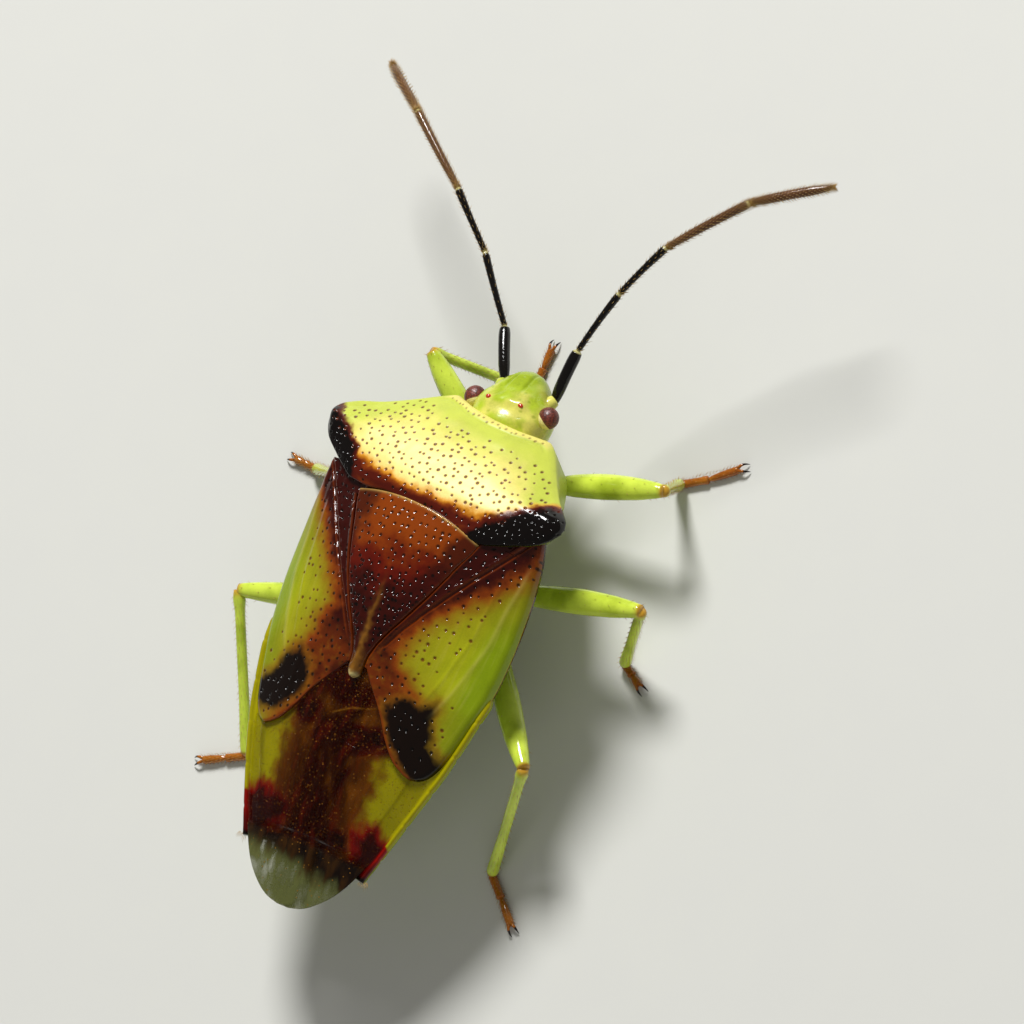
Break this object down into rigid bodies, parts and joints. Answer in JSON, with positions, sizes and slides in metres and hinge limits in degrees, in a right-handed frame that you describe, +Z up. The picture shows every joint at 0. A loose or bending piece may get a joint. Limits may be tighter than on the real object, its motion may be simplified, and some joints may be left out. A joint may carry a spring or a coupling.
{
  "type": "shield bug",
  "caption": "Life-size shield bug standing on its legs with folded wings, shield-shaped back, angled shoulders and jointed feelers spread forward.",
  "frame": {"origin": "centre of the bounding box at floor level, under the body", "axes": "+Z up from the floor, head towards -Y, the insect's own right side towards -X"},
  "size_m": [0.0102, 0.0162, 0.0043],
  "materials": {
    "shell": "glossy punctured cuticle, yellow-green",
    "scutellum": "glossy punctured cuticle, chestnut",
    "wing": "glossy punctured cuticle, yellow-green with red-brown",
    "membrane": "thin glossy film, smoky brown",
    "eye": "dull maroon with a fine facet grain",
    "feeler": "black cuticle with short fine hairs",
    "leg": "glossy green cuticle",
    "foot": "orange-brown cuticle with fine hairs"
  },
  "bodies": {
    "root": {"head": "shell", "rostrum": "shell", "pronotum": "shell", "thorax": "shell", "abdomen": "shell", "scutellum": "scutellum", "corium_right": "wing", "corium_left": "wing", "membrane_right": "membrane", "membrane_left": "membrane", "eye_right": "eye", "eye_left": "eye", "antenna_right_1": "feeler", "antenna_right_2": "feeler", "antenna_right_3": "feeler", "antenna_right_4": "feeler", "antenna_right_5": "feeler", "antenna_left_1": "feeler", "antenna_left_2": "feeler", "antenna_left_3": "feeler", "antenna_left_4": "feeler", "antenna_left_5": "feeler", "femur_fore_right": "leg", "femur_fore_left": "leg", "femur_mid_right": "leg", "femur_mid_left": "leg", "femur_hind_right": "leg", "femur_hind_left": "leg", "tibia_fore_right": "leg", "tibia_fore_left": "leg", "tibia_mid_right": "leg", "tibia_mid_left": "leg", "tibia_hind_right": "leg", "tibia_hind_left": "leg", "tarsus_fore_right": "foot", "tarsus_fore_left": "foot", "tarsus_mid_right": "foot", "tarsus_mid_left": "foot", "tarsus_hind_right": "foot", "tarsus_hind_left": "foot"}
  },
  "joints": []
}
